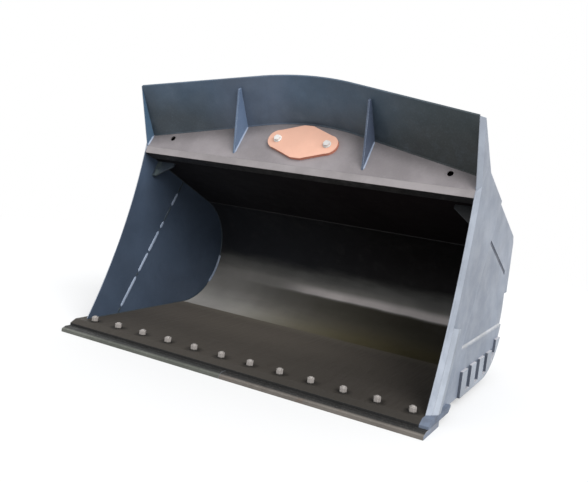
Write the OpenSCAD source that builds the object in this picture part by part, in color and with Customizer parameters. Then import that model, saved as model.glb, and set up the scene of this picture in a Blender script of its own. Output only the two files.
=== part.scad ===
// Loader bucket: a welded plate bowl with a bolt-on cutting edge and a bent spill guard.
// Outlines are drawn in a side view (y back, z up) whose origin is the bolt line of the cutting
// edge on the floor's top face, and seat() then stands the whole bucket on z = 0.

/* [Bowl] */
// Width over the two side plates
body_w = 2960; // [2400:10:3600]
// Flat floor from the bolt line back to the heel
floor_len = 1180; // [950:10:1450]
// Inside radius of the rolled heel
heel_r = 508; // [420:2:620]
// Slope of the roof plate, in degrees
roof_angle = 24.5; // [20:0.5:30]
// Setback of the upper lip behind the bolt line
lip_y = 440; // [360:10:530]
// Backward bow of the side cutters' front edges
front_bow = 58; // [40:1:80]
// Height of the closed box above the roof plate
box_h = 258; // [210:2:310]

/* [Plates] */
// Thickness of the floor and the rolled wrapper
bowl_t = 16; // [12:1:22]
// Thickness of the roof plate
roof_t = 10; // [8:1:14]
// Thickness of the side plates
side_t = 18; // [14:1:24]
// Thickness of the side cutters and end plates
cutter_t = 35; // [28:1:42]
// Thickness of the box skin
skin_t = 8; // [6:1:12]
// Thickness of the shelf plate
shelf_t = 12; // [8:1:16]
// Thickness of the spill guard
guard_t = 12; // [8:1:16]

/* [Cutting edge] */
// Thickness of the welded base edge
edge_t = 45; // [36:1:54]
// Thickness of the bolt-on edge sections
blade_t = 40; // [32:1:48]
// Front-to-back width of the bolt-on edge sections
blade_w = 290; // [245:5:350]
// Reach of the bolt-on edge in front of the bolt line
blade_reach = 185; // [160:5:200]
// Number of plough bolts
edge_bolts = 12; // [8:2:14]
// Diameter of the plough bolts
bolt_d = 30; // [24:1:36]

/* [Shelf and guard] */
// Thickness of the lip bar
lip_t = 45; // [38:1:54]
// Slope of the shelf plate, in degrees
shelf_angle = 57.5; // [50:0.5:64]
// Forward lean of the spill guard from the vertical, in degrees
guard_lean = 28; // [24:0.5:33]
// Height of the spill guard at its ends
guard_h = 447; // [380:1:540]
// Distance of the guard's ends above the lip, along the shelf
guard_foot = 120; // [100:1:140]
// Sweep of each guard wing in plan, in degrees
guard_sweep = 11.25; // [9:0.25:12.5]
// Radius of the guard's central bend
guard_bend_r = 2150; // [1800:10:2500]

/* [Hinges] */
// Diameter of the pins
pin_d = 100; // [84:1:110]
// Thickness of the hinge ears
ear_t = 40; // [32:1:48]
// Space between the two ears of a pair
ear_gap = 130; // [110:2:160]
// Distance of each lift-arm pair from the middle
lift_x = 560; // [460:5:640]

/* [Hidden] */

smooth = 180;                      // facets on small round features
large = 360;                       // facets on rolled plates and long arcs
seat_gap = 0.3;                    // clearance on curved seats
roll_off = 0.5;                    // arcs end this much short of the flats that they run into

side_in = body_w / 2 - side_t;     // inner face of the side plates
side_out = body_w / 2;
ground_drop = edge_t + blade_t;    // floor's top face above the ground
side_drop = bowl_t + 14;           // side plates reach this far below the floor's top face

function polar(a) = [cos(a), sin(a)];

// Side-view geometry of the bowl
roof_back = polar(-roof_angle);
roof_out = polar(90 - roof_angle);
heel = [floor_len, heel_r];
seam = heel + heel_r * roof_out;
lip = [lip_y, seam[1] + (seam[0] - lip_y) * tan(roof_angle)];
roof_len = (seam[0] - lip_y) / cos(roof_angle);
function on_roof(s, h) = lip + s * roof_back + h * roof_out;
lip_depth = 120;
lip_drop = 12;                     // the lip bar hangs this far below the roof plate
wrapper_r = heel_r + bowl_t;

// Shelf: w runs up its face from the lip, v runs into the plate
shelf_dir = polar(shelf_angle);
shelf_in = polar(shelf_angle - 90);
shelf_foot = on_roof(0, lip_t);
shelf_roof = shelf_angle + roof_angle;
function on_shelf(w, v) = shelf_foot + w * shelf_dir + v * shelf_in;
function shelf_w(h, v) = (h - lip_t + v * cos(shelf_roof)) / sin(shelf_roof);
function shelf_meets(h, v) = on_shelf(shelf_w(h, v), v);
box_w = shelf_w(box_h, 0);

// Spill guard: u runs back from the lip, square to the guard's lean
guard_up = polar(90 + guard_lean);
guard_turn = shelf_angle - guard_lean;
guard_u = guard_foot * cos(guard_turn);
guard_crown_u = guard_u + side_in * tan(guard_sweep);
guard_crown_w = (guard_crown_u - guard_bend_r * (1 / cos(guard_sweep) - 1)) / cos(guard_turn);
guard_top_turn = 21;
shelf_sweep = atan(tan(guard_sweep) / cos(guard_turn));
crest_margin = 36;
function guard_w(x) = guard_foot + (side_in - x) * tan(shelf_sweep);

// Side plates and cutters
cut_angle = 29.5;                  // lean of the joint between cutter and side plate
edge_rear = 330;
cut_foot = [edge_rear, 0];
cut_dir = polar(90 - cut_angle);
cut_top = cut_foot + cut_dir * (box_h + (lip - cut_foot) * roof_out) / (cut_dir * roof_out);
box_front = on_shelf(box_w, 0);
front_chord = norm(lip);
front_r = (front_chord * front_chord / 4 + front_bow * front_bow) / (2 * front_bow);
front_back = [lip[1], -lip[0]] / front_chord;
front_c = lip / 2 - (front_r - front_bow) * front_back;
side_rear = heel[0] + 620;
side_step = heel[1] + 82;
side_corner_s = (side_rear - 30 - lip[0] - box_h * roof_out[0]) / roof_back[0];
side_corner = on_roof(side_corner_s, box_h);
side_drop_r = heel_r + side_drop - roll_off;
groove = [[992, 1052], [1626, 752]];
groove_w = 36;
groove_depth = 5;
guard_tip = on_shelf(guard_foot, 0) + guard_h * guard_up;
end_plate_s = 136;
corner_guard_t = 30;
edge_land = 4;                     // flat left beside the bevel on the outside of a side edge
corner_guard_w = 110;
corner_guard_h = 560;

// Cutting edge
edge_half = side_in + cutter_t + corner_guard_t;
edge_reach = 105;
edge_nose = 18;
bolt_pitch = 2 * (side_in - 87) / (edge_bolts - 1);
bolt_r = bolt_d / 2;
bolt_head_r = bolt_d * 0.93;
bolt_head_h = bolt_d * 0.6;
washer_t = 5;
washer_r = bolt_r * 2.05;
nut_h = bolt_d;
nut_af = bolt_d * 1.54;

// Closed box behind the shelf
knee_s = roof_len - 30;
knee = on_roof(knee_s, box_h);
leg_angle = 8;
leg_foot = heel + wrapper_r * polar(leg_angle);
leg_dir = (leg_foot - knee) / norm(leg_foot - knee);
leg_in = [leg_dir[1], -leg_dir[0]];
knee_turn = -roof_angle - atan2(leg_dir[1], leg_dir[0]);
knee_inner = on_roof(knee_s - skin_t * tan(knee_turn / 2), box_h - skin_t);

// Hinges
ear_pad_t = 16;
lift_pin = heel + [725, -128];
tilt_pin = heel + [680, 502];
lift_r = 110;
tilt_r = 105;
pin_r = pin_d / 2;
boss_r = pin_r + 30;
boss_t = 20;

// Wear parts
wear_t = 12;
wear_top = 330;
comb_t = 20;
comb_top = 160;
comb_rear_top = 230;
comb_pitch = 230;
comb_bar = 130;
comb_front = floor_len - 590;
skid_front = 450;
skid_w = 80;
corner_skid_in = 45;

// Cover and lifting holes in the shelf
cover_half = 158;
cover_w = guard_crown_w - cover_half - 30;
cover_t = 25;
cover_bolt_x = 224;
cover_end_r = 88;
lash_x = side_in - 215;
lash_w = 112;
lash_r = 24;
gusset_x = 580;
gusset_t = 14;

y_mid = (lift_pin[0] + lift_r - blade_reach) / 2;

steel_blue = [0.36, 0.42, 0.50];
steel_dark = [0.20, 0.23, 0.27];
steel_pale = [0.60, 0.65, 0.72];
floor_brown = [0.23, 0.20, 0.17];
cover_orange = [0.80, 0.47, 0.36];
zinc = [0.85, 0.85, 0.85];

// Stands the side view's origin over the ground and centres the bucket front to back
module seat() {
    translate([0, -y_mid, ground_drop]) children();
}

// Extrudes each side-view outline from x0 to x1
module across(x0, x1) {
    for (i = [0 : $children - 1])
        seat() translate([x0, 0, 0]) rotate([90, 0, 90]) linear_extrude(x1 - x0) children(i);
}

// The same on the left (-1) or right (1) side, from x0 out to x1
module on_side(side, x0, x1) {
    for (i = [0 : $children - 1])
        across(side > 0 ? x0 : -x1, side > 0 ? x1 : -x0) children(i);
}

module in_shelf_frame() {
    seat() translate([0, shelf_foot[0], shelf_foot[1]]) rotate([shelf_angle, 0, 0]) children();
}

module in_guard_frame() {
    seat() translate([0, shelf_foot[0], shelf_foot[1]]) rotate([guard_lean, 0, 0]) children();
}

module at_bolts() {
    for (i = [0 : edge_bolts - 1])
        seat() translate([(i - (edge_bolts - 1) / 2) * bolt_pitch, 0, 0]) children();
}

// Pie slice of radius r between two angles, with enough points to clear the arc
module slice(r, a0, a1) {
    steps = ceil((a1 - a0) / 40);
    polygon(concat([[0, 0]], [for (i = [0 : steps]) 1.2 * r * polar(a0 + (a1 - a0) * i / steps)]));
}

// Ring sector about the heel's centre
module heel_band(r0, r1, a0, a1) {
    translate(heel) intersection() {
        difference() {
            circle(r = r1, $fn = large);
            circle(r = r0, $fn = large);
        }
        slice(r1, a0, a1);
    }
}

// Area in front of the cutters' bowed front edge
module front_disc(grow) {
    translate(front_c) circle(r = front_r + grow, $fn = large);
}

// Bevels the front edge of a side plate or guard from the inner face outwards, along the bow
module front_bevel(side) {
    depth = cutter_t + corner_guard_t + 10;
    seat() translate([side * (side_in + edge_land - 10), front_c[0], front_c[1]]) rotate([0, side * 90, 0])
        cylinder(r1 = front_r - 10, r2 = front_r - 10 + depth, h = depth, $fn = large);
}

// The same along a straight edge from a to b
module straight_bevel(side, a, b) {
    x = side_in + edge_land;
    reach = cutter_t + 10;
    seat() translate([0, a[0], a[1]]) rotate([atan2(b[1] - a[1], b[0] - a[0]) - 90, 0, 0])
        translate([0, 0, -60]) linear_extrude(norm(b - a) + 120)
            polygon([[side * (x - 20), -20], [side * (x + reach), reach], [side * (x + reach), -20]]);
}

// What lies outside radius r below and behind the heel, up to the step in the side plates
module heel_corner(r) {
    difference() {
        translate([heel[0], -heel_r]) square([2 * heel_r, side_step + heel_r]);
        translate(heel) circle(r = r, $fn = large);
    }
}

module side_outline() {
    difference() {
        polygon([
            [edge_rear, -side_drop], cut_foot, cut_top, side_corner,
            [side_rear, side_corner[1] - 60], [side_rear, -side_drop]
        ]);
        heel_corner(heel_r + side_drop - roll_off);
    }
}

// Plan outline in front of a sheet with two straight wings and a rounded bend of radius r.
// u_end is the wings' height at the ends, and nothing is lower than the shoulder
module swept_front(u_end, sweep, r, u_low, shoulder = 0) {
    crown = u_end + side_in * tan(sweep);
    tangent = r * [sin(sweep), cos(sweep)];
    bend_u = crown - r / cos(sweep);
    edge = max(u_end, shoulder);
    half = concat([[side_in, u_low], [side_in, edge]], edge > u_end ? [[side_in - (edge - u_end) / tan(sweep), edge]] : []);
    difference() {
        polygon(concat(half, [[0, crown]], [for (i = [len(half) - 1 : -1 : 0]) [-half[i][0], half[i][1]]]));
        difference() {
            translate([-2 * tangent[0], bend_u + tangent[1]]) square([4 * tangent[0], r]);
            translate([0, bend_u + roll_off]) circle(r = r, $fn = 2 * large);
        }
    }
}

// --- Bowl ---

module base_edge() {
    color(floor_brown) difference() {
        across(-edge_half, edge_half) polygon([
            [-edge_reach, -edge_t], [-edge_reach, edge_nose - edge_t], [50 - edge_reach, 0],
            cut_foot, [edge_rear, -bowl_t], [edge_rear - 40, -edge_t]
        ]);
        at_bolts() translate([0, 0, -edge_t - 1]) cylinder(r = bolt_r + 1, h = edge_t + 2, $fn = smooth);
    }
}

module floor_plate() {
    color(floor_brown) across(-side_in, side_in)
        translate([edge_rear, -bowl_t]) square([floor_len - edge_rear, bowl_t]);
}

module wrapper() {
    color(steel_dark) across(-side_in, side_in) heel_band(heel_r, wrapper_r, -90, 90 - roof_angle);
}

module roof_plate() {
    color(steel_dark) across(-side_in, side_in) polygon([
        on_roof(lip_depth, 0), on_roof(lip_depth, roof_t), on_roof(roof_len, roof_t), seam
    ]);
}

module lip_bar() {
    color(steel_pale) across(-side_in, side_in) polygon([
        on_roof(5, -lip_drop), shelf_foot, on_roof(lip_depth, lip_t), on_roof(lip_depth, 0),
        on_roof(lip_depth - lip_drop, -lip_drop)
    ]);
}

module side_plate(side) {
    color(steel_blue) difference() {
        on_side(side, side_in, side_out) side_outline();
        on_side(side, side_out - groove_depth, side_out + 1)
            polygon([groove[0], groove[1], groove[1] + [0, groove_w], groove[0] + [0, groove_w]]);
    }
}

module side_cutter(side) {
    color(steel_pale) difference() {
        on_side(side, side_in, side_in + cutter_t) difference() {
            polygon([[0, 0], cut_foot, cut_top, box_front, shelf_foot, lip]);
            front_disc(0);
        }
        front_bevel(side);
    }
}

module end_plate(side) {
    color(steel_pale) difference() {
        on_side(side, side_in, side_in + cutter_t) polygon([
            shelf_foot, guard_tip, guard_tip + [45, -8], on_roof(end_plate_s, box_h), box_front
        ]);
        straight_bevel(side, shelf_foot, guard_tip);
    }
}

module corner_guard(side) {
    color(steel_pale) difference() {
        on_side(side, edge_half - corner_guard_t, edge_half) intersection() {
            difference() {
                front_disc(corner_guard_w);
                front_disc(0);
            }
            polygon([[-20, 0], [400, 0], [400, corner_guard_h - 60], [80, corner_guard_h], [-20, corner_guard_h]]);
        }
        front_bevel(side);
    }
}

module lip_gusset(side) {
    s = 190;
    color(steel_blue) seat() translate([side * side_in, on_roof(s, 0)[0], on_roof(s, 0)[1]])
        rotate([-90 - roof_angle, 0, 0]) linear_extrude(16)
            polygon([[0, 0], [0, 140], [-side * 30, 140], [-side * 180, 30], [-side * 180, 0]]);
}

// --- Shelf, guard and closed box ---

module shelf_plate() {
    color(steel_blue) difference() {
        in_shelf_frame() translate([0, 0, -shelf_t]) linear_extrude(shelf_t) difference() {
            swept_front(guard_foot + crest_margin, shelf_sweep, guard_bend_r, -10, box_w);
            for (side = [-1, 1]) {
                translate([side * lash_x, lash_w]) circle(r = lash_r, $fn = smooth);
                translate([side * cover_bolt_x, cover_w]) circle(r = bolt_r + 1, $fn = smooth);
            }
        }
        across(-side_in - 1, side_in + 1)
            polygon([on_roof(-50, lip_t), on_roof(100, lip_t), on_roof(100, -50), on_roof(-50, -50)]);
    }
}

module spill_guard() {
    tan_foot = tan(guard_turn);
    u0 = guard_u - 20;
    u1 = guard_crown_u + 60;
    top0 = guard_u * tan_foot + guard_h;
    color(steel_blue) intersection() {
        in_guard_frame() linear_extrude(3 * guard_h) difference() {
            swept_front(guard_u + guard_t / cos(guard_sweep), guard_sweep, guard_bend_r + guard_t, 0);
            swept_front(guard_u, guard_sweep, guard_bend_r, -1);
        }
        in_guard_frame() translate([-side_in, 0, 0]) rotate([90, 0, 90]) linear_extrude(2 * side_in) polygon([
            [u0, u0 * tan_foot], [u1, u1 * tan_foot],
            [u1, top0 + (u1 - guard_u) * tan(guard_top_turn)], [u0, top0 + (u0 - guard_u) * tan(guard_top_turn)]
        ]);
    }
}

module shelf_gusset(side) {
    w = guard_w(gusset_x + gusset_t / 2) - seat_gap;
    top = on_shelf(w, 0) + 335 * guard_up;
    color(steel_blue) on_side(side, gusset_x - gusset_t / 2, gusset_x + gusset_t / 2)
        polygon([on_shelf(42, 0), on_shelf(w, 0), top, top - 28 * polar(guard_lean)]);
}

module cover_plate() {
    end_c = [cover_bolt_x, 0];
    crown = [42, cover_half];
    away = crown - end_c;
    meet = end_c + 0.97 * cover_end_r * polar(atan2(away[1], away[0]) - acos(cover_end_r / norm(away)));
    color(cover_orange) in_shelf_frame() translate([0, cover_w, 0]) difference() {
        union() {
            linear_extrude(cover_t) polygon([
                [-meet[0], -meet[1]], [-crown[0], -crown[1]], [crown[0], -crown[1]], [meet[0], -meet[1]], end_c,
                meet, crown, [-crown[0], crown[1]], [-meet[0], meet[1]], -end_c
            ]);
            for (side = [-1, 1])
                translate([side * cover_bolt_x, 0, 0]) cylinder(r = cover_end_r, h = cover_t, $fn = smooth);
        }
        for (side = [-1, 1])
            translate([side * cover_bolt_x, 0, -1]) cylinder(r = bolt_r + 1, h = cover_t + 2, $fn = smooth);
    }
}

module cover_bolts() {
    color(zinc) in_shelf_frame() for (side = [-1, 1]) translate([side * cover_bolt_x, cover_w, cover_t]) {
        difference() {
            cylinder(r = 1.1 * washer_r, h = washer_t, $fn = smooth);
            translate([0, 0, -1]) cylinder(r = bolt_r + 0.7, h = washer_t + 2, $fn = smooth);
        }
        translate([0, 0, washer_t]) cylinder(d = nut_af / cos(30), h = 0.62 * bolt_d, $fn = 6);
        translate([0, 0, 1 - cover_t - shelf_t])
            cylinder(r = bolt_r, h = cover_t + shelf_t + washer_t - 1, $fn = smooth);
    }
}

module box_skin() {
    color(steel_blue) across(-side_in, side_in) difference() {
        polygon([
            shelf_meets(box_h, shelf_t + seat_gap), knee, leg_foot,
            leg_foot + skin_t * leg_in, knee_inner, shelf_meets(box_h - skin_t, shelf_t + seat_gap)
        ]);
        translate(heel) circle(r = wrapper_r + seat_gap, $fn = large);
    }
}

module box_rib(x) {
    color(steel_dark) across(x - 6, x + 6) polygon([
        on_roof(200, roof_t), on_roof(200, box_h - skin_t - seat_gap),
        on_roof(800, box_h - skin_t - seat_gap), on_roof(800, roof_t)
    ]);
}

module rear_brace(x) {
    w = guard_w(abs(x)) + crest_margin - 60 - guard_bend_r * (abs(x) < 200 ? 0.02 : 0);
    color(steel_blue) across(x - 7, x + 7) polygon([
        shelf_meets(box_h, shelf_t), on_shelf(w, shelf_t), on_shelf(w, shelf_t + 25), on_roof(340, box_h)
    ]);
}

// --- Bolt-on edge ---

module edge_section(side) {
    color(side < 0 ? steel_dark : floor_brown) difference() {
        on_side(side, 1.5, edge_half) polygon([
            [-blade_reach, -edge_t - blade_t], [-blade_reach, -edge_t - 15], [35 - blade_reach, -edge_t],
            [blade_w - blade_reach, -edge_t], [blade_w - blade_reach, -edge_t - blade_t]
        ]);
        at_bolts() translate([0, 0, -edge_t - blade_t - 1])
            cylinder(r = bolt_r + 1, h = blade_t + 2, $fn = smooth);
        at_bolts() translate([0, 0, -edge_t - blade_t])
            cylinder(r1 = bolt_head_r + 1, r2 = bolt_r + 1, h = bolt_head_h, $fn = smooth);
    }
}

module plough_bolts() {
    end_z = washer_t + nut_h + 7;
    color(zinc) at_bolts() {
        translate([0, 0, 1 - edge_t - blade_t])
            cylinder(r1 = bolt_head_r - 0.3, r2 = bolt_r, h = bolt_head_h, $fn = smooth);
        translate([0, 0, 1 - edge_t - blade_t]) cylinder(r = bolt_r, h = edge_t + blade_t - 3 + end_z, $fn = smooth);
        translate([0, 0, end_z - 2]) cylinder(r1 = bolt_r, r2 = bolt_r - 2, h = 2, $fn = smooth);
    }
}

module edge_washers() {
    color(steel_dark) at_bolts() difference() {
        cylinder(r = washer_r, h = washer_t, $fn = smooth);
        translate([0, 0, -1]) cylinder(r = bolt_r + 0.7, h = washer_t + 2, $fn = smooth);
    }
}

module edge_nuts() {
    color(steel_dark) at_bolts() translate([0, 0, washer_t]) difference() {
        cylinder(d = nut_af / cos(30), h = nut_h, $fn = 6);
        translate([0, 0, -1]) cylinder(r = bolt_r + 0.2, h = nut_h + 2, $fn = smooth);
    }
}

// --- Wear parts ---

module wear_plate(side) {
    front = edge_rear + 25;
    color(steel_pale) on_side(side, side_out, side_out + wear_t) intersection() {
        side_outline();
        polygon([
            [front - side_drop * tan(cut_angle), -side_drop], [front + wear_top * tan(cut_angle), wear_top],
            [2 * side_rear, wear_top], [2 * side_rear, -side_drop]
        ]);
    }
}

module heel_guard(side) {
    color(steel_pale) on_side(side, side_out + wear_t, side_out + wear_t + comb_t) intersection() {
        side_outline();
        union() {
            for (i = [0 : 4])
                translate([comb_front + i * comb_pitch, -2 * side_drop])
                    square([comb_bar, 2 * side_drop + (i < 4 ? comb_top : comb_rear_top)]);
            difference() {
                translate([comb_front, -side_drop]) square([4 * comb_pitch + comb_bar, side_drop + comb_rear_top]);
                translate([0, 0]) square([heel[0], heel_r]);
                translate(heel) circle(r = heel_r, $fn = large);
            }
        }
    }
}

// Skid under the floor and round the heel, with its top face at z = -top
module skid_floor(top) {
    polygon([
        [skid_front, -top], [skid_front + ground_drop - top, -ground_drop],
        [heel[0], -ground_drop], [heel[0], -top]
    ]);
}

module skid_heel(top) {
    heel_band(heel_r + top + seat_gap, heel_r + ground_drop - roll_off, -90, -52);
}

module corner_skid(side) {
    color(steel_dark) on_side(side, side_in - corner_skid_in - skid_w, side_in - corner_skid_in) {
        skid_floor(bowl_t);
        skid_heel(bowl_t);
    }
}

module floor_skids() {
    for (x = [-900, -320, 320, 900])
        color(steel_dark) across(x - skid_w / 2, x + skid_w / 2) {
            skid_floor(bowl_t);
            skid_heel(bowl_t);
        }
}

// --- Hinges ---

function tangent_point(from, c, r, side) =
    let (away = from - c, turn = acos(r / norm(away)))
    c + r * polar(atan2(away[1], away[0]) + side * turn);

// Ear body that runs from the pin centre c out to a foot between points a (upper) and b (lower)
module ear_outline(c, r, a, b) {
    grip = 0.97 * r;
    polygon([a, tangent_point(a, c, grip, -1), c, tangent_point(b, c, grip, 1), b, heel]);
}

module disc(c, r) {
    translate(c) circle(r = r, $fn = smooth);
}

module ear_pad(side) {
    color(steel_blue) on_side(side, lift_x - 190, lift_x + 190)
        heel_band(wrapper_r + seat_gap, wrapper_r + seat_gap + ear_pad_t, -44, leg_angle - 4);
}

module lift_ear(side, x) {
    pad_r = wrapper_r + seat_gap + ear_pad_t;
    color(steel_blue) difference() {
        on_side(side, x, x + ear_t) {
            ear_outline(lift_pin, lift_r, heel + pad_r * polar(leg_angle - 6), heel + pad_r * polar(-41));
            disc(lift_pin, lift_r);
        }
        on_side(side, x - 1, x + ear_t + 1) {
            translate(heel) circle(r = pad_r + seat_gap, $fn = large);
            disc(lift_pin, pin_r);
        }
    }
}

module tilt_ear(side) {
    x = ear_gap / 2;
    color(steel_blue) difference() {
        on_side(side, x, x + ear_t) {
            ear_outline(tilt_pin, tilt_r, on_roof(knee_s - 150, box_h - 5), heel + wrapper_r * polar(leg_angle - 6));
            disc(tilt_pin, tilt_r);
        }
        on_side(side, x - 1, x + ear_t + 1) {
            polygon([on_roof(0, 0), shelf_meets(box_h, shelf_t + seat_gap), knee, leg_foot, heel]);
            translate(heel) circle(r = wrapper_r + seat_gap, $fn = large);
            disc(tilt_pin, pin_r);
        }
    }
}

module boss_ring(c) {
    translate(c) difference() {
        circle(r = boss_r, $fn = smooth);
        circle(r = pin_r, $fn = smooth);
    }
}

module lift_bosses(side) {
    reach = ear_gap / 2 + ear_t;
    color(steel_pale) on_side(side, lift_x + reach, lift_x + reach + boss_t) boss_ring(lift_pin);
    color(steel_pale) on_side(side, lift_x - reach - boss_t, lift_x - reach) boss_ring(lift_pin);
}

module tilt_bosses() {
    reach = ear_gap / 2 + ear_t;
    for (side = [-1, 1])
        color(steel_pale) on_side(side, reach, reach + boss_t) boss_ring(tilt_pin);
}

base_edge();
floor_plate();
wrapper();
roof_plate();
lip_bar();
side_plate(-1);  // left_side_plate
side_plate(1);  // right_side_plate
side_cutter(-1);  // left_side_cutter
side_cutter(1);  // right_side_cutter
end_plate(-1);  // left_end_plate
end_plate(1);  // right_end_plate
corner_guard(-1);  // left_corner_guard
corner_guard(1);  // right_corner_guard
shelf_plate();
spill_guard();
shelf_gusset(-1);  // left_shelf_gusset
shelf_gusset(1);  // right_shelf_gusset
cover_plate();
cover_bolts();
box_skin();
box_rib(-gusset_x);  // left_box_rib
box_rib(0);  // centre_box_rib
box_rib(gusset_x);  // right_box_rib
lip_gusset(-1);  // left_lip_gusset
lip_gusset(1);  // right_lip_gusset
edge_section(-1);  // left_edge_section
edge_section(1);  // right_edge_section
plough_bolts();
edge_washers();
edge_nuts();
wear_plate(-1);  // left_wear_plate
wear_plate(1);  // right_wear_plate
heel_guard(-1);  // left_heel_guard
heel_guard(1);  // right_heel_guard
corner_skid(-1);  // left_corner_skid
corner_skid(1);  // right_corner_skid
floor_skids();
ear_pad(-1);  // left_ear_pad
ear_pad(1);  // right_ear_pad
lift_ear(-1, lift_x + ear_gap / 2);  // left_lift_ear_outer
lift_ear(-1, lift_x - ear_gap / 2 - ear_t);  // left_lift_ear_inner
lift_ear(1, lift_x - ear_gap / 2 - ear_t);  // right_lift_ear_inner
lift_ear(1, lift_x + ear_gap / 2);  // right_lift_ear_outer
lift_bosses(-1);  // left_lift_bosses
lift_bosses(1);  // right_lift_bosses
tilt_ear(-1);  // left_tilt_ear
tilt_ear(1);  // right_tilt_ear
tilt_bosses();
rear_brace(-gusset_x);  // left_rear_brace
rear_brace(0);  // centre_rear_brace
rear_brace(gusset_x);  // right_rear_brace
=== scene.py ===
"""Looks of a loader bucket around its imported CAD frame: paint, worn plate, weld beads, studio and camera.

Blender's lengths are metres in the part's frame. Side-view lengths are millimetres from the bolt line,
with y towards the back and z up, and at() turns them into points of the part's frame.
"""

import math
import random

import bpy
from mathutils import Matrix, Vector


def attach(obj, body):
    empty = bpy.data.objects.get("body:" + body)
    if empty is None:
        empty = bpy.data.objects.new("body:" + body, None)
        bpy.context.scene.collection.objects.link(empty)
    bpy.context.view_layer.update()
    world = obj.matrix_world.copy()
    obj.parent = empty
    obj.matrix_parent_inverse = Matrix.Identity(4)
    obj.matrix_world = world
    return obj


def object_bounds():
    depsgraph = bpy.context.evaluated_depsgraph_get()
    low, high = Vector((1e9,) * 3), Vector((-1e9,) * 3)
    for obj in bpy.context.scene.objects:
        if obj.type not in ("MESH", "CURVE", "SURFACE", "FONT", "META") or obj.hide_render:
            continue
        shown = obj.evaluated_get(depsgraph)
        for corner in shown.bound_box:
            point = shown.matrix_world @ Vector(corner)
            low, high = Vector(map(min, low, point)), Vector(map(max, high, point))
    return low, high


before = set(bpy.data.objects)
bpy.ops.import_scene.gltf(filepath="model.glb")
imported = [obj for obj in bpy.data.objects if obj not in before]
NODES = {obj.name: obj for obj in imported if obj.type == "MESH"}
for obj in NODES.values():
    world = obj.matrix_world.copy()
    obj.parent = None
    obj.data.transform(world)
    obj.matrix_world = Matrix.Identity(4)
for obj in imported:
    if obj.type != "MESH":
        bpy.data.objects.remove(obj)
CAD_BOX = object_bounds()

# ---------------------------------------------------------------- sizes of the bucket

SHIFT_Y = -915.0                 # side-view origin to the part's frame
SHIFT_Z = 85.0
SIDE_IN = 1462.0                 # inner face of a side plate
HEEL = (1180.0, 508.0)           # centre of the rolled heel
HEEL_R = 508.0
ROOF = math.radians(24.5)        # slope of the roof plate
ROOF_LIP = (440.0, 1403.5)       # its front end
ROOF_LEN = 1040.0
LIP_T = 45.0
SHELF = math.radians(57.5)       # slope of the shelf
CUT = math.radians(29.5)         # lean of the joint between side plate and cutter
CUT_FOOT = 330.0
GUARD_FOOT = 120.0               # how far up the shelf the guard's ends stand
GUARD_TURN = math.radians(29.5)  # between the shelf and the square to the guard
GUARD_SWEEP = math.radians(11.25)
GUARD_BEND_R = 2150.0
GUSSET_X = 580.0
GUSSET_T = 14.0
WEAR_BEAD = (1481.0, 331.0)      # x and z of the bead along a wear plate's top
LIFT_X = 560.0                   # middle of a pair of lift ears
EAR_GAP = 130.0
EAR_T = 40.0
PAD_R = HEEL_R + 33.0            # just off the pads that carry the lift ears
BEAD_OUT = 0.5                   # how far off a face a bead runs


def at(x, y, z):
    """A point of the side view in the part's frame, in metres."""
    return Vector((x, y + SHIFT_Y, z + SHIFT_Z)) / 1000


def on_roof(s, h):
    """A side-view point s back along the roof plate's inner face and h above it."""
    return (ROOF_LIP[0] + s * math.cos(ROOF) + h * math.sin(ROOF),
            ROOF_LIP[1] - s * math.sin(ROOF) + h * math.cos(ROOF))


def on_cut(z):
    """A side-view point of the joint between the side plate and its cutter, z above the floor."""
    return (CUT_FOOT + z * math.tan(CUT), z)


def on_shelf(w, out=0.0):
    """A side-view point w up the shelf from its foot and out off its face."""
    foot = on_roof(0, LIP_T)
    return (foot[0] + w * math.cos(SHELF) - out * math.sin(SHELF),
            foot[1] + w * math.sin(SHELF) + out * math.cos(SHELF))


def guard_foot(x):
    """How far up the shelf the guard stands at x: two straight wings and a rounded middle."""
    crown = GUARD_FOOT * math.cos(GUARD_TURN) + SIDE_IN * math.tan(GUARD_SWEEP)
    if abs(x) < GUARD_BEND_R * math.sin(GUARD_SWEEP):
        chord = math.sqrt(GUARD_BEND_R * GUARD_BEND_R - x * x)
        return (crown - GUARD_BEND_R / math.cos(GUARD_SWEEP) + chord) / math.cos(GUARD_TURN)
    return GUARD_FOOT + (SIDE_IN - abs(x)) * math.tan(GUARD_SWEEP) / math.cos(GUARD_TURN)


def heel_arc(x, start, end, radius=HEEL_R, steps=48):
    """Points round the heel at x from angle start to end, in degrees; 0 is rearmost, -90 is the floor."""
    angles = [math.radians(start + (end - start) * i / steps) for i in range(steps + 1)]
    return [at(x, HEEL[0] + radius * math.cos(a), HEEL[1] + radius * math.sin(a)) for a in angles]


# The same in metres, for the materials
OFF_SHELF = Vector((0, -math.sin(SHELF), math.cos(SHELF)))
UP_SHELF = Vector((0, math.cos(SHELF), math.sin(SHELF)))
PAINTED_END = 1.4625             # past this x, on the right, the base edge keeps its outside paint
BOLT_PITCH = 0.25
BOLT_LINE = SHIFT_Y / 1000
GUARD_PEAK = 0.454               # how far up the shelf the guard's straight wings would meet
GUARD_SLOPE = 0.2285             # how much lower they stand per metre from the middle
GUARD_CROWN = 0.405              # how far up the rounded middle stands
GROOVE_FACE = (1.4745, 1.4748, 1.4763, 1.4767)   # x of the groove's bottom in the outer face, as a band
WEAR_FACE = (1.4905, 1.4915, 1.4925, 1.4935)     # x of the wear plate's outer face, as a band

# ---------------------------------------------------------------- node trees


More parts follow.
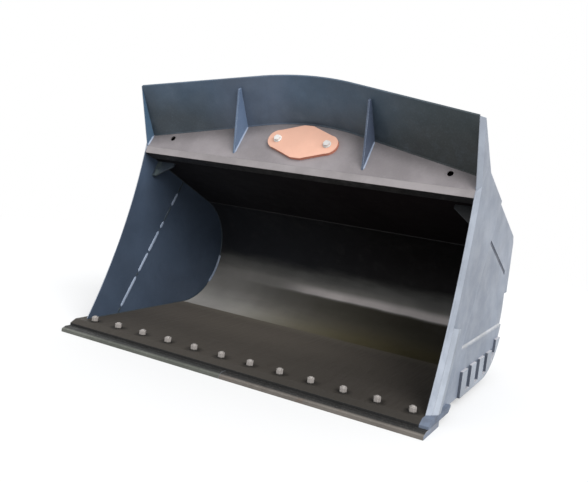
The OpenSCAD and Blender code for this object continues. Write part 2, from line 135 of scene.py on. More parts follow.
class Nodes:
    """Adds nodes to a node tree and links them as it goes."""

    def __init__(self, tree):
        self.tree = tree
        tree.nodes.clear()

    def add(self, kind, values=None, **props):
        """A new node; each value is a socket to link to that input, or the input's own value."""
        node = self.tree.nodes.new(kind)
        for key, value in props.items():
            setattr(node, key, value)
        for key, value in (values or {}).items():
            if isinstance(value, bpy.types.NodeSocket):
                self.tree.links.new(value, node.inputs[key])
            else:
                node.inputs[key].default_value = value
        return node

    def math(self, operation, a, b=0.0, clamp=False):
        return self.add("ShaderNodeMath", {0: a, 1: b}, operation=operation, use_clamp=clamp).outputs[0]

    def seen(self):
        """1 for rays that show what they meet, straight, mirrored or through glass, and 0 for the rest."""
        path = self.add("ShaderNodeLightPath").outputs
        mirrored = self.math("MAXIMUM", path["Is Camera Ray"], path["Is Glossy Ray"])
        return self.math("MAXIMUM", mirrored, path["Is Transmission Ray"])


class Shade(Nodes):
    """Builds one material's node tree."""

    def __init__(self, name):
        self.mat = bpy.data.materials.new(name)
        self.mat.use_nodes = True
        super().__init__(self.mat.node_tree)
        self.place = self.add("ShaderNodeTexCoord").outputs["Object"]
        self.normal = self.add("ShaderNodeNewGeometry").outputs["Normal"]

    def vector(self, operation, a, b):
        node = self.add("ShaderNodeVectorMath", {0: a, 1: b}, operation=operation)
        return node.outputs["Value"] if operation == "DOT_PRODUCT" else node.outputs[0]

    def parts(self, vector):
        """The x, y and z of a vector."""
        return self.add("ShaderNodeSeparateXYZ", {0: vector}).outputs

    def noise(self, scale, detail=4.0, rough=0.55, stretch=None, offset=0.0):
        place = self.place
        if stretch or offset:
            place = self.add("ShaderNodeMapping", {
                "Vector": place, "Location": (offset, offset, offset), "Scale": stretch or (1, 1, 1),
            }).outputs[0]
        return self.add("ShaderNodeTexNoise", {
            "Vector": place, "Scale": scale, "Detail": detail, "Roughness": rough,
        }).outputs[0]

    def ramp(self, value, low, high, to_low=0.0, to_high=1.0):
        """Goes smoothly from to_low to to_high as the value goes from low to high."""
        return self.add("ShaderNodeMapRange", {
            0: value, 1: low, 2: high, 3: to_low, 4: to_high,
        }, clamp=True, interpolation_type="SMOOTHSTEP").outputs[0]

    def band(self, value, a, b, c, d):
        """0 below a, 1 from b to c, 0 above d."""
        return self.math("MULTIPLY", self.ramp(value, a, b), self.ramp(value, c, d, 1.0, 0.0))

    def times(self, *values):
        out = values[0]
        for value in values[1:]:
            out = self.math("MULTIPLY", out, value)
        return out

    def mix(self, share, a, b):
        """The colour a, with a share of b."""
        a, b = (c if isinstance(c, bpy.types.NodeSocket) else (*c, 1) for c in (a, b))
        return self.add("ShaderNodeMix", {0: share, 6: a, 7: b}, data_type="RGBA").outputs[2]

    def scaled(self, tone, factor):
        return self.add("ShaderNodeVectorMath", {0: tone, "Scale": factor}, operation="SCALE").outputs[0]

    def from_heel(self):
        """How far a point lies behind the heel's centre and above it."""
        _, y, z = self.parts(self.place)
        return (self.math("SUBTRACT", y, (HEEL[0] + SHIFT_Y) / 1000),
                self.math("SUBTRACT", z, (HEEL[1] + SHIFT_Z) / 1000))

    def heel_angle(self):
        """Angle round the rolled heel in degrees, 0 at its rearmost line and -90 where the floor starts."""
        back, up = self.from_heel()
        return self.math("MULTIPLY", self.math("ARCTAN2", up, back), math.degrees(1))

    def edges(self, radius):
        """The bevelled normal, and how sharp the edge is, from 0 on flats up to 1."""
        bevel = self.add("ShaderNodeBevel", {"Radius": radius}, samples=4).outputs[0]
        return bevel, self.math("SUBTRACT", 1.0, self.vector("DOT_PRODUCT", bevel, self.normal))

    def surface(self, shader):
        self.add("ShaderNodeOutputMaterial", {"Surface": shader.outputs[0]})
        return self.mat

    def finish(self, colour, rough, spec, height, depth, bevel, metallic=0.0):
        bump = self.add("ShaderNodeBump", {
            "Height": height, "Strength": 1.0, "Distance": depth, "Normal": bevel,
        })
        return self.surface(self.add("ShaderNodeBsdfPrincipled", {
            "Base Color": colour, "Roughness": rough, "Metallic": metallic, "Specular IOR Level": spec,
            "Normal": bump.outputs[0],
        }))


# ---------------------------------------------------------------- paint and plate

INNER_WEAR = 1.7   # how much lighter worn paint is than the paint round it, on inner faces


def paint(name, base, worn, tint, inner=None, rough=0.45, spec=0.4, mottle=0.35, scratch=0.5, edge=0.7,
          seed=0.0, streak=(1, 14, 1), fine=0.08):
    """Sprayed steel: cloudy tone, fine orange peel, scuffs and bare lighter edges.

    inner is darker paint, painted shade, for faces that look into the bucket, and tint changes the tone by
    place.
    """
    s = Shade(name)
    tone = base
    # painted shade: darker paint on faces that look into the bucket
    if inner is not None:
        inwards = s.math("MULTIPLY", s.parts(s.place)[0], s.parts(s.normal)[0])
        inside = s.ramp(inwards, -0.9, -0.5, 1.0, 0.0)
        tone = s.mix(inside, tone, inner)
        worn = s.mix(inside, worn, [c * INNER_WEAR for c in inner])
    tone = tint(s, tone)
    cloud = s.noise(2.2, 6.0, 0.6, offset=seed)
    tone = s.scaled(tone, s.ramp(cloud, 0.32, 0.68, 1.0 + mottle * 0.3, 1.0 - mottle * 0.7))
    patch = s.noise(7.0, 6.0, 0.65, offset=seed + 3)
    tone = s.mix(s.ramp(patch, 0.48, 0.8, 0.0, mottle * 0.5), tone, worn)
    specks = s.noise(70.0, 3.0, 0.6, offset=seed + 1)
    tone = s.mix(s.ramp(specks, 0.45, 0.75, 0.0, fine), tone, worn)
    lines = s.noise(26.0, 3.0, 0.5, stretch=streak, offset=seed + 7)
    where = s.ramp(s.noise(3.0, 3.0, offset=seed + 11), 0.48, 0.62)
    scuff = s.math("MULTIPLY", s.ramp(lines, 0.66, 0.72), where)
    tone = s.mix(s.math("MULTIPLY", scuff, scratch), tone, worn)
    bevel, sharp = s.edges(0.006)
    uneven = s.ramp(s.noise(14.0, 4.0, offset=seed + 5), 0.32, 0.6, 0.35, 1.0)
    rubbed = s.math("MULTIPLY", s.ramp(sharp, 0.02, 0.14), uneven)
    tone = s.mix(s.math("MULTIPLY", rubbed, edge), tone, worn)
    dull = s.ramp(s.noise(6.0, 5.0, offset=seed + 2), 0.3, 0.7, 0.0, 0.22)
    gloss = s.math("ADD", rough - 0.1, dull, clamp=True)
    peel = s.math("MULTIPLY", s.noise(240.0, 2.0), 0.5)
    height = s.math("ADD", peel, s.math("MULTIPLY", scuff, -0.4))
    return s.finish(tone, gloss, spec, height, 0.0006, bevel)


def plate(name, base, light, dark, rough=0.6, spec=0.3, metallic=0.0, seed=0.0, drag=(18, 1, 18), rust=None,
          grain=1.0, tint=None, fine=0.3):
    """Worn working steel: drag marks along the way the load slides, stains, pits and rubbed edges."""
    s = Shade(name)
    cloud = s.noise(2.6, 6.0, 0.62, offset=seed)
    tone = s.mix(s.ramp(cloud, 0.3, 0.7), base, dark)
    drags = s.noise(2.4, 6.0, 0.65, stretch=drag, offset=seed + 2)
    tone = s.mix(s.ramp(drags, 0.5, 0.74, 0.0, 0.25), tone, light)
    if rust is not None:
        spots = s.ramp(s.noise(16.0, 6.0, 0.7, offset=seed + 4), 0.56, 0.7)
        where = s.ramp(s.noise(3.5, 3.0, offset=seed + 6), 0.45, 0.6)
        tone = s.mix(s.times(spots, where, 0.6), tone, rust)
    if tint is not None:
        tone = tint(s, tone)
    pits = s.noise(120.0, 3.0, 0.7, offset=seed + 8)
    tone = s.mix(s.ramp(pits, 0.5, 0.78, 0.0, fine), tone, light)
    bevel, sharp = s.edges(0.005)
    uneven = s.ramp(s.noise(20.0, 4.0, offset=seed + 5), 0.3, 0.6, 0.3, 1.0)
    tone = s.mix(s.times(s.ramp(sharp, 0.02, 0.12), uneven, 0.6), tone, light)
    gloss = s.math("ADD", rough - 0.12, s.ramp(drags, 0.35, 0.7, 0.24, 0.0), clamp=True)
    height = s.math("ADD", s.math("MULTIPLY", pits, grain), s.math("MULTIPLY", drags, 0.8))
    return s.finish(tone, gloss, spec, height, 0.0008, bevel, metallic)


def weld(name, base, light, dark, seed, rough=0.45, spec=0.45):
    return plate(name, base, light, dark, rough, spec, seed=seed, drag=(4, 4, 4), grain=0.5)


# ---------------------------------------------------------------- tones that change with the place

PALE = (0.285, 0.315, 0.375)
# painted shade for faces that look into the bucket
INSIDE_SHADE = (0.061, 0.086, 0.13)
LIGHT = (0.46, 0.5, 0.58)
# painted highlight for faces that look forward
FRONT_HIGHLIGHT = (0.42, 0.46, 0.53)
SHADOW = (0.02, 0.02, 0.02)


def front_highlight(s, tone):
    """Painted highlight on front edges and their bevels, the faces that look forward, in uneven patches."""
    front = s.ramp(s.parts(s.normal)[1], -0.6, -0.35, 1.0, 0.0)
    worn = s.ramp(s.noise(9.0, 5.0, 0.6), 0.3, 0.65, 0.55, 1.0)
    return s.mix(s.math("MULTIPLY", front, worn), tone, FRONT_HIGHLIGHT)


def side_tint(s, tone):
    """Darker low outside, painted light on the top inside, painted shade in the groove and behind the heel
    guard's bars.
    """
    x, y, z = s.parts(s.place)
    out = s.math("ABSOLUTE", x)
    inside = s.ramp(s.math("MULTIPLY", x, s.parts(s.normal)[0]), -0.2, 0.2, 1.0, 0.0)
    low = s.times(s.ramp(z, 0.3, 1.1, 0.42, 0.0), s.ramp(s.noise(1.7, 5.0), 0.3, 0.7, 0.6, 1.0))
    tone = s.mix(s.times(low, s.math("SUBTRACT", 1.0, inside)), tone, (0.19, 0.23, 0.3))
    # painted light on the top of the inside faces
    lift = s.times(inside, s.ramp(z, 1.1, 1.35, 0.0, 0.3))
    tone = s.scaled(tone, s.math("ADD", 1.0, lift))
    # painted shade in the groove
    tone = s.mix(s.band(out, *GROOVE_FACE), tone, (0.05, 0.06, 0.09))
    # painted shade behind the heel guard's bars
    along = s.band(y, -0.34, -0.32, 0.6, 0.75)
    behind = s.times(s.band(out, *WEAR_FACE), along, s.ramp(z, 0.235, 0.25, 1.0, 0.0))
    return s.mix(s.math("MULTIPLY", behind, 0.7), tone, (0.07, 0.09, 0.13))


def cutter_tint(s, tone):
    return front_highlight(s, side_tint(s, tone))


def shelf_tint(s, tone):
    """Painted shade on the shelf along the foot of the guard."""
    out = s.math("ABSOLUTE", s.parts(s.place)[0])
    from_foot = s.vector("SUBTRACT", s.place, at(0, *on_roof(0, LIP_T)))
    w = s.vector("DOT_PRODUCT", from_foot, UP_SHELF)
    wings = s.math("SUBTRACT", GUARD_PEAK, s.math("MULTIPLY", out, GUARD_SLOPE))
    near = s.math("SUBTRACT", s.math("MINIMUM", wings, GUARD_CROWN), w)
    # painted shade near the guard's foot
    return s.scaled(tone, s.ramp(near, 0.0, 0.15, 0.55, 0.94))


def cover_tint(s, tone):
    """Darker and redder on faces that don't look off the shelf, round the plate's edge."""
    face = s.vector("DOT_PRODUCT", s.normal, OFF_SHELF)
    return s.mix(s.ramp(face, 0.5, 0.9, 1.0, 0.0), tone, (0.72, 0.26, 0.17))


def comb_tint(s, tone):
    """Painted highlight on the bars' tops, painted shade on the sides that face forward and back."""
    _, ny, nz = s.parts(s.normal)
    # painted highlight on the tops
    tone = s.mix(s.ramp(nz, 0.5, 0.8, 0.0, 0.8), tone, (0.6, 0.58, 0.6))
    # painted shade on the sides that face forward and back
    return s.mix(s.ramp(s.math("ABSOLUTE", ny), 0.5, 0.8, 0.0, 0.85), tone, (0.06, 0.07, 0.1))


def guard_tint(s, tone):
    """Lighter and bluer towards the crest; painted highlight at the bend, and painted shade, dark
    green-grey, on the right wing.
    """
    x, _, z = s.parts(s.place)
    up = s.ramp(z, 1.75, 2.16)
    left_tone = s.mix(up, (0.043, 0.058, 0.072), (0.088, 0.14, 0.21))
    # painted shade: the right wing is darker
    right_tone = s.mix(up, (0.023, 0.028, 0.028), (0.046, 0.062, 0.07))
    tone = s.mix(s.ramp(x, -0.1, 1.3), left_tone, right_tone)
    # painted highlight at the bend
    bend = s.band(x, -1.0, -0.6, -0.35, 0.0)
    return s.mix(s.math("MULTIPLY", bend, 0.6), tone, (0.13, 0.165, 0.235))


def fin_tint(s, tone):
    """Painted shade: the right gusset is darker than the left one."""
    return s.mix(s.ramp(s.parts(s.place)[0], -0.1, 0.1), tone, (0.09, 0.115, 0.175))


def lip_fin_tint(s, tone):
    """Flaked and pale on the left, and painted shade, black, on the right."""
    x = s.parts(s.place)[0]
    flaked = s.times(s.ramp(s.noise(14.0, 4.0, 0.6), 0.42, 0.6), s.ramp(x, -1.44, -1.36, 1.0, 0.0))
    # painted shade: black on the right
    tone = s.mix(s.ramp(x, -0.1, 0.1), tone, (0.01, 0.011, 0.013))
    return s.mix(flaked, tone, (0.12, 0.15, 0.15))


def lip_tint(s, tone):
    """Painted shade: black underneath."""
    under = s.ramp(s.parts(s.normal)[2], -0.3, -0.05, 1.0, 0.0)
    return s.mix(under, tone, (0.008, 0.008, 0.009))


def roof_tint(s, _):
    """Painted shade: almost black, and browner towards the right."""
    return s.mix(s.ramp(s.parts(s.place)[0], -1.2, 0.8), (0.02, 0.0195, 0.022), (0.0115, 0.0088, 0.0095))


def bowl_tint(s, _):
    """Painted shade, dark, above; painted light below, darker and yellower towards the right; a painted
    sheen line along the heel.
    """
    x = s.parts(s.place)[0]
    right = s.ramp(x, -1.2, 0.8)
    wobble = s.ramp(s.noise(1.6, 2.0, stretch=(1, 0, 0)), 0.3, 0.7, -0.8, 0.8)
    angle = s.math("ADD", s.heel_angle(), wobble)
    soft = s.math("ADD", angle, s.ramp(s.noise(2.0, 5.0, stretch=(1, 5, 5)), 0.3, 0.7, -1.8, 1.8))
    # painted shade: dark above, where the rolled plate looks forward and down; painted light lower down
    tone = s.mix(right, (0.02, 0.021, 0.025), (0.008, 0.007, 0.0075))
    tone = s.mix(s.ramp(soft, -16.5, 0.5, 1.0, 0.0), tone, (0.135, 0.133, 0.126))
    tone = s.mix(s.ramp(soft, -25.0, -14.0, 1.0, 0.0), tone, (0.25, 0.24, 0.225))

    # the painted light below the line fades out evenly towards the right, and turns yellow there
    level = s.math("MULTIPLY", 0.225, s.math("POWER", 0.3985, s.math("ADD", x, 1.1)))
    rise = s.ramp(soft, -84.0, -38.0, 2.5, 1.0)
    yellow = s.mix(s.ramp(soft, -80.0, -50.0), (1.0, 0.86, 0.46), (1.0, 0.9, 0.68))
    low = s.scaled(s.mix(right, (1.0, 0.96, 0.9), yellow), s.math("MULTIPLY", level, rise))
    share = s.math("MULTIPLY", s.ramp(angle, -35.0, -30.5, 1.0, 0.0), s.ramp(x, -1.3, -0.9, 0.6, 1.0))
    tone = s.mix(share, tone, low)
    # painted sheen: a bright line along the heel
    line = s.times(s.band(angle, -33.0, -30.5, -28.0, -20.5), s.ramp(x, -0.75, -0.1, 0.0, 0.95))
    tone = s.mix(line, tone, (0.72, 0.66, 0.645))

    # the back of the rolled plate is painted like the outside
    _, ny, nz = s.parts(s.normal)
    back, up = s.from_heel()
    outwards = s.math("ADD", s.math("MULTIPLY", ny, back), s.math("MULTIPLY", nz, up))
    return s.mix(s.ramp(outwards, -0.1, 0.1), tone, PALE)


def edge_tint(s, tone):
    """Blue-grey paint left on the ends of the edge, shade in the step between the two edges."""
    nx, _, nz = s.parts(s.normal)
    flaking = s.ramp(s.noise(12.0, 4.0), 0.3, 0.6, 0.7, 1.0)
    painted = s.times(s.ramp(s.math("ABSOLUTE", nx), 0.5, 0.8), flaking)
    tone = s.mix(painted, tone, (0.2, 0.235, 0.31))
    step = s.times(s.ramp(nz, 0.8, 0.88), s.ramp(s.parts(s.place)[1], -1.094, -1.076))
    return s.mix(step, tone, SHADOW)


def floor_tint(s, _):
    """Painted light towards the back, darker towards the right and round each nut, painted shade under the
    nose.
    """
    x, y, _ = s.parts(s.place)
    _, ny, nz = s.parts(s.normal)
    # painted light: lighter towards the back
    tone = s.mix(s.ramp(y, -0.6, 0.25), (0.06, 0.0525, 0.0445), (0.124, 0.108, 0.091))
    tone = s.mix(s.ramp(y, 0.08, 0.34), tone, (0.2, 0.178, 0.145))
    tone = s.scaled(tone, s.ramp(x, -0.3, 0.9, 1.0, 0.76))
    # painted shade on the faces that look forward, darkest on the nose's front
    tone = s.scaled(tone, s.ramp(ny, -0.5, -0.3, 0.78, 1.0))
    tone = s.mix(s.ramp(ny, -0.95, -0.75, 1.0, 0.0), tone, SHADOW)

    # away is the distance from the nearest bolt
    pitches = s.math("FRACT", s.math("DIVIDE", x, BOLT_PITCH))
    across = s.math("MULTIPLY", s.math("SUBTRACT", pitches, 0.5), BOLT_PITCH)
    along = s.math("SUBTRACT", y, BOLT_LINE)
    away = s.math("SQRT", s.math("ADD", s.times(across, across), s.times(along, along)))
    ragged = s.ramp(s.noise(22.0, 3.0), 0.3, 0.7, -0.012, 0.012)
    # darker round each nut
    nut_ring = s.ramp(s.math("ADD", away, ragged), 0.038, 0.08, 0.65, 0.0)
    tone = s.mix(s.times(nut_ring, s.ramp(nz, 0.9, 0.97)), tone, (0.016, 0.014, 0.012))

    flaking = s.ramp(s.noise(12.0, 4.0), 0.3, 0.6, 0.7, 1.0)
    outside = s.times(s.ramp(x, PAINTED_END, PAINTED_END + 0.001), flaking)
    return s.mix(outside, tone, (0.17, 0.205, 0.275))


def nut_tint(s, tone):
    """Lighter tops over darker flats."""
    return s.mix(s.ramp(s.parts(s.normal)[2], 0.3, 0.8, 1.0, 0.0), tone, (0.36, 0.33, 0.31))


# ---------------------------------------------------------------- materials

# the inner paint of the sides, cutters and end plates is painted shade
outer = paint("side_paint", PALE, LIGHT, side_tint, inner=INSIDE_SHADE, rough=0.5, mottle=0.22, scratch=0.4,
              seed=1.0, streak=(1, 3, 18))
strip = paint("cutter_paint", PALE, LIGHT, cutter_tint, inner=INSIDE_SHADE, rough=0.5, mottle=0.22, scratch=0.4,
              edge=0.9, seed=2.0, streak=(1, 3, 18))
ends = paint("end_plate_paint", PALE, LIGHT, front_highlight, inner=(0.085, 0.15, 0.23), rough=0.45, mottle=0.2,
             scratch=0.4, edge=0.9, seed=2.5, streak=(1, 3, 18))
guard = paint("guard_paint", (0.062, 0.082, 0.108), (0.2, 0.25, 0.32), guard_tint, rough=0.42, mottle=0.3,
              scratch=0.3, seed=3.0, streak=(2, 1, 16))
shelf = paint("shelf_paint", (0.34, 0.31, 0.32), (0.46, 0.43, 0.435), shelf_tint, rough=0.6, mottle=0.3,
              scratch=0.4, seed=4.0, streak=(14, 2, 2))
fins = paint("gusset_paint", (0.14, 0.2, 0.31), (0.42, 0.5, 0.62), fin_tint, rough=0.42, mottle=0.2,
             edge=0.9, seed=5.0)
lip_fin = paint("lip_gusset_paint", (0.045, 0.06, 0.08), (0.12, 0.15, 0.17), lip_fin_tint, rough=0.5,
                mottle=0.2, seed=3.5)
lip_mat = paint("lip_paint", (0.36, 0.33, 0.335), (0.5, 0.47, 0.475), lip_tint, rough=0.55, mottle=0.3,
                edge=0.4, seed=6.0, streak=(1, 12, 12))
# painted shade: the roof plate's near-black paint
roof = paint("roof_paint", (0.016, 0.015, 0.017), (0.02, 0.019, 0.02), roof_tint, rough=0.66, spec=0.03,
             mottle=0.25, scratch=0.15, edge=0.1, seed=7.0, streak=(1, 10, 10), fine=0.0)
bowl = paint("bowl_paint", (0.1, 0.1, 0.1), (0.14, 0.135, 0.13), bowl_tint, rough=0.56, spec=0.1,
             mottle=0.16, scratch=0.12, edge=0.1, seed=8.0, streak=(1, 10, 10), fine=0.0)
wear = paint("wear_paint", (0.31, 0.345, 0.4), (0.52, 0.55, 0.6), front_highlight, rough=0.5, mottle=0.3,
             scratch=0.6, edge=0.9, seed=12.0, streak=(1, 2, 12))
comb = paint("heel_guard_paint", (0.34, 0.375, 0.43), (0.52, 0.55, 0.6), comb_tint, rough=0.5, mottle=0.3,
             scratch=0.5, edge=0.5, seed=12.5, streak=(1, 2, 12))
orange = paint("orange_primer", (0.9, 0.52, 0.385), (0.93, 0.65, 0.53), cover_tint, rough=0.5, spec=0.3,
               mottle=0.14, scratch=0.2, edge=0.15, seed=13.0)

floor_steel = plate("floor_steel", (0.075, 0.068, 0.057), (0.12, 0.11, 0.095), (0.05, 0.045, 0.038),
                    rough=0.68, spec=0.28, seed=9.0, rust=(0.085, 0.055, 0.036), tint=floor_tint, fine=0.14)
edge_left = plate("edge_steel_grey", (0.15, 0.155, 0.135), (0.27, 0.28, 0.25), (0.09, 0.095, 0.08),
                  rough=0.5, spec=0.4, seed=10.0, rust=(0.14, 0.09, 0.06), tint=edge_tint)
edge_right = plate("edge_steel_brown", (0.2, 0.18, 0.16), (0.34, 0.31, 0.28), (0.12, 0.105, 0.092),
                   rough=0.5, spec=0.4, seed=11.0, rust=(0.18, 0.11, 0.07), tint=edge_tint)
under = plate("skid_steel", (0.13, 0.13, 0.13), (0.28, 0.28, 0.28), (0.08, 0.08, 0.08), rough=0.5,
              spec=0.5, seed=14.0, rust=(0.16, 0.09, 0.05))
zinc = plate("zinc_plating", (0.86, 0.84, 0.81), (0.93, 0.92, 0.9), (0.7, 0.68, 0.66), rough=0.4, spec=0.5,
             metallic=0.1, seed=15.0, drag=(4, 4, 4), grain=0.3)
nut_bright = plate("nut_steel", (0.52, 0.49, 0.46), (0.66, 0.62, 0.6), (0.38, 0.35, 0.33), rough=0.42,
                   spec=0.5, metallic=0.2, seed=16.0, drag=(4, 4, 4), grain=0.4, tint=nut_tint)
washer_dark = plate("washer_steel", (0.022, 0.02, 0.018), (0.07, 0.065, 0.06), (0.015, 0.014, 0.013),
                    rough=0.6, spec=0.3, seed=16.5, drag=(4, 4, 4))
bright_weld = weld("bright_weld", (0.4, 0.47, 0.6), (0.62, 0.68, 0.78), (0.26, 0.32, 0.43), seed=17.0)
pale_weld = weld("pale_weld", (0.52, 0.53, 0.56), (0.7, 0.7, 0.72), (0.36, 0.37, 0.38), seed=18.0)
seam_weld = weld("seam_weld", (0.05, 0.049, 0.05), (0.09, 0.088, 0.09), (0.025, 0.025, 0.026), seed=19.0,
                 rough=0.5, spec=0.4)

# A node's own name, or the part's name that the node's name holds
LOOKS = {
    "base_edge": floor_steel, "floor_plate": floor_steel, "wrapper": bowl, "roof_plate": roof,
    "lip_bar": lip_mat, "side_plate": outer, "side_cutter": strip, "end_plate": ends, "corner_guard": wear,
    "shelf_plate": shelf, "spill_guard": guard, "shelf_gusset": fins, "cover_plate": orange,
    "cover_bolts": zinc, "box_skin": outer, "box_rib": roof, "lip_gusset": lip_fin,
    "left_edge_section": edge_left, "right_edge_section": edge_right, "plough_bolts": nut_bright,
    "edge_washers": washer_dark, "edge_nuts": nut_bright, "wear_plate": outer, "heel_guard": comb,
    "corner_skid": under, "floor_skids": under, "ear_pad": outer, "lift_ear": outer, "lift_bosses": wear,
    "tilt_ear": outer, "tilt_bosses": wear, "rear_brace": outer,
}


def look_of(node):
    for key, material in LOOKS.items():
        if key in node:
            return material
    raise KeyError(node)


for node_name, node_object in NODES.items():
    node_object.data.materials.clear()
    node_object.data.materials.append(look_of(node_name))

# ---------------------------------------------------------------- weld beads

BEAD_STEP = 0.007    # between two ripples
BEAD_SIDES = 5
BEAD_SINK = 0.0004   # how far a bead's foot lies under the surface


def walk(path, step):
    """Even points along a polyline."""
    out = [Vector(path[0])]
    left = step
    for a, b in zip(path, path[1:]):
        a, b = Vector(a), Vector(b)
        length = (b - a).length
        done = left
        while done <= length:
            out.append(a.lerp(b, done / length))
            done += step
        left = done - length
    return out


class Beads:
    """Rippled weld beads, gathered into one mesh."""

    def __init__(self, name, material, slot):
        self.name, self.material, self.slot = name, material, slot
        self.verts, self.faces = [], []
        self.random = random.Random(name)

    def run(self, path, up, half, high):
        """A bead along the path; up is the way it stands off the plates, and half is half its width."""
        points = walk(path, BEAD_STEP)
        first = len(self.verts)
        last = len(points) - 1
        for i, p in enumerate(points):
            along = (points[min(i + 1, last)] - points[max(i - 1, 0)]).normalized()
            u = up(p) if callable(up) else Vector(up)
            u = (u - along * u.dot(along)).normalized()
            across = along.cross(u)
            taper = min(1.0, 0.25 + 0.4 * min(i, last - i))
            ripple = (1.0 if i % 2 else 0.8) * (1 + 0.08 * self.random.uniform(-1, 1)) * taper
            for k in range(BEAD_SIDES + 1):
                a = math.pi * k / BEAD_SIDES
                rise = high * ripple * math.sin(a) - BEAD_SINK
                self.verts.append(p + across * (half * ripple * math.cos(a)) + u * rise)
        ring = BEAD_SIDES + 1
        for i in range(last):
            for k in range(BEAD_SIDES):
                a = first + i * ring + k
                self.faces.append((a, a + 1, a + ring + 1, a + ring))

    def build(self):
        mesh = bpy.data.meshes.new(self.name)
        mesh.from_pydata(self.verts, [], self.faces)
        mesh.update()
        mesh.shade_smooth()
        mesh.materials.append(self.material)
        obj = bpy.data.objects.new(self.name, mesh)
        bpy.context.scene.collection.objects.link(obj)
        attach(obj, "root")


dark_beads = Beads("bowl_beads", guard, "blue_paint")
bright_beads = Beads("bright_beads", bright_weld, "blue_paint")
pale_beads = Beads("outer_beads", pale_weld, "pale_paint")
seam_beads = Beads("seam_beads", seam_weld, "bowl_grey")
rear_beads = Beads("rear_beads", outer, "blue_paint")

UNDER_ROOF = Vector((0, -math.sin(ROOF), -math.cos(ROOF)))


def off_heel(turn, way):
    """Stands a fillet bead off the rolled plate, outwards (1) or inwards (-1), and off what looks way."""
    def up(p):
        centre = at(0, *HEEL)
        away = Vector((0, p.y - centre.y, p.z - centre.z)).normalized()
        return away * turn + Vector((way, 0, 0))
    return up


def cutter_joint(x, inward):
    """Butt joint between cutter and side plate: a low cap with bright ground lengths."""
    for z0, z1 in ((1040, 925), (780, 722), (694, 516), (503, 340), (300, 53)):
        bright_beads.run([at(x, *on_cut(z0)), at(x, *on_cut(z1))], inward, half=0.016, high=0.004)
    for z0, z1 in ((1285, 1043), (922, 783), (718, 697), (337, 303), (50, 6)):
        dark_beads.run([at(x, *on_cut(z0)), at(x, *on_cut(z1))], inward, half=0.012, high=0.003)


def bowl_fillet(x, side, inward):
    """Fillet between the side plate and the bowl: heel, floor and roof."""
    into_bowl = off_heel(-1, -side)
    dark_beads.run(heel_arc(x, -90, -47), into_bowl, half=0.009, high=0.007)
    bright_beads.run(heel_arc(x, -44, -10), into_bowl, half=0.018, high=0.014)
    dark_beads.run(heel_arc(x, -9, 40), into_bowl, half=0.009, high=0.007)
    dark_beads.run(heel_arc(x, 41, 65), into_bowl, half=0.009, high=0.007)
    floor_line = [at(x, y, 0) for y in (20, 1178)]
    dark_beads.run(floor_line, inward + Vector((0, 0, 1)), half=0.008, high=0.006)
    roof_line = [at(x, *on_roof(s, 0)) for s in (10, ROOF_LEN)]
    dark_beads.run(roof_line, inward + UNDER_ROOF, half=0.008, high=0.006)


def shelf_feet(x, side, inward):
    """Feet of the end plate and the gusset on the shelf."""
    foot = [at(x, *on_shelf(w, BEAD_OUT)) for w in (8, 116)]
    bright_beads.run(foot, inward + OFF_SHELF, half=0.012, high=0.008)
    for face in (-1, 1):
        face_x = side * GUSSET_X + face * (GUSSET_T / 2 + BEAD_OUT)
        foot = [at(face_x, *on_shelf(w, BEAD_OUT)) for w in (50, guard_foot(face_x) - 6)]
        bright_beads.run(foot, Vector((face, 0, 0)) + OFF_SHELF, half=0.01, high=0.008)


def wear_plate_top(side):
    """Fillet along the top of the wear plate."""
    x, z = WEAR_BEAD
    line = [at(side * x, y, z) for y in (552, 1676)]
    pale_beads.run(line, Vector((side, 0, 1)), half=0.017, high=0.009)


def ear_feet(side):
    """Fillets along both faces of each lift ear, on its pad."""
    for ear_x in (LIFT_X - EAR_GAP / 2 - EAR_T, LIFT_X + EAR_GAP / 2):
        for x, face in ((ear_x, -side), (ear_x + EAR_T, side)):
            line = heel_arc(side * x + face * BEAD_OUT, -39, 1, PAD_R)
            rear_beads.run(line, off_heel(1, face), half=0.01, high=0.008)


def roof_seam():
    """Joint between the rolled plate and the roof."""
    y, z = HEEL[0] + HEEL_R * math.sin(ROOF), HEEL[1] + HEEL_R * math.cos(ROOF)
    seam_beads.run([at(x, y, z) for x in (-1455, 1455)], UNDER_ROOF, half=0.009, high=0.004)


def guard_seam():
    """Fillet in front of the guard's foot, on the shelf."""
    line = [at(x, *on_shelf(guard_foot(x) - 1, BEAD_OUT)) for x in range(-1454, 1455, 12)]
    dark_beads.run(line, Vector((0, -1, 0.15)), half=0.009, high=0.006)


for side in (-1, 1):
    inner_x = side * (SIDE_IN - BEAD_OUT)
    inward = Vector((-side, 0, 0))
    cutter_joint(inner_x, inward)
    bowl_fillet(inner_x, side, inward)
    shelf_feet(inner_x, side, inward)
    wear_plate_top(side)
    ear_feet(side)
roof_seam()
guard_seam()

for beads in (dark_beads, bright_beads, pale_beads, seam_beads, rear_beads):
    beads.build()

# ---------------------------------------------------------------- studio and camera

STAGE_HALF = 60      # half the floor's width
STAGE_GAP = 0.0005   # the floor lies this far below the bucket
SKY_LIGHT = 0.78
WHITE = (1, 1, 1, 1)


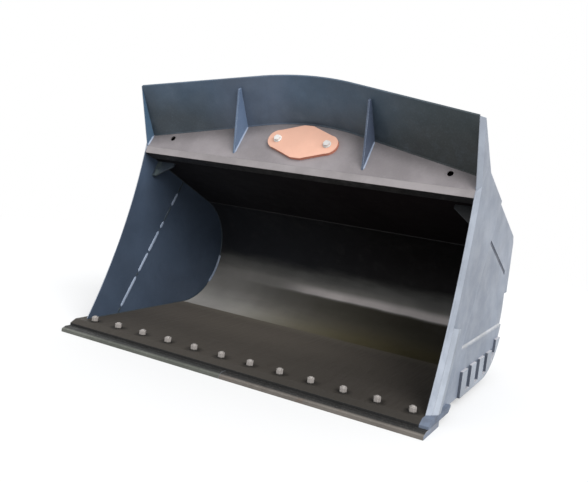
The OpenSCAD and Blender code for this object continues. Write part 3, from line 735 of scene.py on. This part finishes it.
def stage_floor():
    """A pale floor that keeps the bucket's shadow, white far out, and clear to a camera below it."""
    s = Shade("floor_white")
    seen = s.seen()
    far = s.ramp(s.vector("DOT_PRODUCT", s.place, s.place), 12.0, 60.0)
    colour = s.mix(seen, (0.3, 0.3, 0.3), (0.93, 0.93, 0.93))
    diffuse = s.add("ShaderNodeBsdfDiffuse", {"Color": colour})
    glow = s.add("ShaderNodeEmission", {"Color": WHITE, "Strength": 1.0})
    share = s.math("MULTIPLY", s.math("MAXIMUM", far, 0.4), seen)
    solid = s.add("ShaderNodeMixShader", {0: share, 1: diffuse.outputs[0], 2: glow.outputs[0]})
    backface = s.add("ShaderNodeNewGeometry").outputs["Backfacing"]
    below = s.math("MULTIPLY", backface, s.add("ShaderNodeLightPath").outputs["Is Camera Ray"])
    clear = s.add("ShaderNodeBsdfTransparent")
    s.surface(s.add("ShaderNodeMixShader", {0: below, 1: solid.outputs[0], 2: clear.outputs[0]}))

    mesh = bpy.data.meshes.new("floor")
    corners = [(x * STAGE_HALF, y * STAGE_HALF, 0) for x, y in ((-1, -1), (1, -1), (1, 1), (-1, 1))]
    mesh.from_pydata(corners, [], [(0, 1, 2, 3)])
    mesh.materials.append(s.mat)
    ground = bpy.data.objects.new("floor", mesh)
    bpy.context.scene.collection.objects.link(ground)
    ground.location.z = CAD_BOX[0].z - STAGE_GAP


def sky():
    """Soft light from all round, and a white background."""
    world = bpy.data.worlds.new("studio")
    bpy.context.scene.world = world
    world.use_nodes = True
    nodes = Nodes(world.node_tree)
    light = nodes.add("ShaderNodeBackground", {"Color": (0.97, 0.985, 1.0, 1), "Strength": SKY_LIGHT})
    white = nodes.add("ShaderNodeBackground", {"Color": WHITE, "Strength": 1.0})
    both = nodes.add("ShaderNodeMixShader", {0: nodes.seen(), 1: light.outputs[0], 2: white.outputs[0]})
    nodes.add("ShaderNodeOutputWorld", {"Surface": both.outputs[0]})


def sun(name, towards, strength, angle):
    """A soft distant lamp; towards is the way from the object to the lamp."""
    data = bpy.data.lights.new(name, "SUN")
    data.energy = strength
    data.angle = math.radians(angle)
    lamp = bpy.data.objects.new(name, data)
    lamp.rotation_mode = "QUATERNION"
    lamp.rotation_quaternion = Vector(towards).to_track_quat("Z", "Y")
    bpy.context.scene.collection.objects.link(lamp)


def camera():
    """The camera, in front of the mouth and to the right; yaw turns it left, and roll tips it."""
    data = bpy.data.cameras.new("camera")
    data.lens = 41.94
    data.sensor_width = 36.0
    data.shift_x = -0.119
    data.shift_y = -0.0765
    data.clip_end = 200
    cam = bpy.data.objects.new("camera", data)
    bpy.context.scene.collection.objects.link(cam)
    yaw, pitch, roll = -0.431, -0.0424, 0.1285
    ahead = Vector((math.sin(yaw) * math.cos(pitch), math.cos(yaw) * math.cos(pitch), math.sin(pitch)))
    level = Vector((math.cos(yaw), -math.sin(yaw), 0))
    up = level.cross(ahead)
    right = level * math.cos(roll) + up * math.sin(roll)
    top = up * math.cos(roll) - level * math.sin(roll)
    cam.rotation_mode = "QUATERNION"
    cam.rotation_quaternion = Matrix((right, top, -ahead)).transposed().to_quaternion()
    cam.location = (2.7345, -5.0247, 1.593)
    bpy.context.scene.camera = cam


stage_floor()
sky()
sun("key", (0.66, -0.4, 0.64), 2.2, 40)
camera()
bpy.context.scene.view_settings.view_transform = "Standard"
